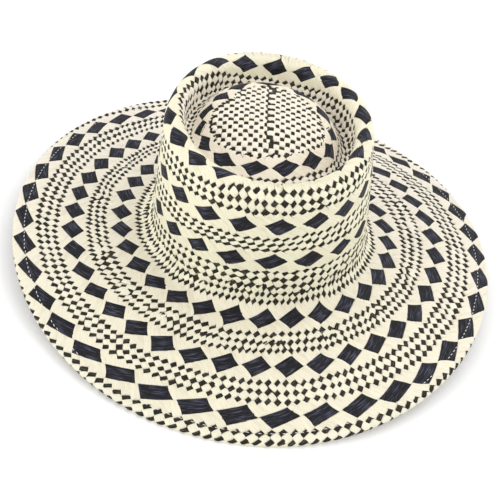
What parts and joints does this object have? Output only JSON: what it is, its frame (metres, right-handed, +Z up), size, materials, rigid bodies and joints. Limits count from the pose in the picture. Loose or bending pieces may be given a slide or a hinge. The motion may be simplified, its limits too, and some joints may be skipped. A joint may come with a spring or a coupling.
{
  "type": "woven straw gambler hat",
  "caption": "Straw hat woven in one piece in black and cream checks and diamonds: low round tip, ring gutter, rolled rim, oval crown and wide, gently waved brim with a turned, stitched edge.",
  "frame": {"origin": "on the table under the middle of the brim, the centre of the box's bottom", "axes": "+Z up, +Y from the front of the hat to its back, +X across it from the wearer's left"},
  "size_m": [0.3802, 0.4126, 0.1191],
  "materials": {
    "woven_straw": "matt woven straw, natural cream and dyed black",
    "hem_straw": "matt woven straw, turned under and stitched"
  },
  "bodies": {
    "root": {"crown_tip": "woven_straw", "crown_side": "woven_straw", "brim": "woven_straw", "edge_hem": "hem_straw"}
  },
  "joints": []
}
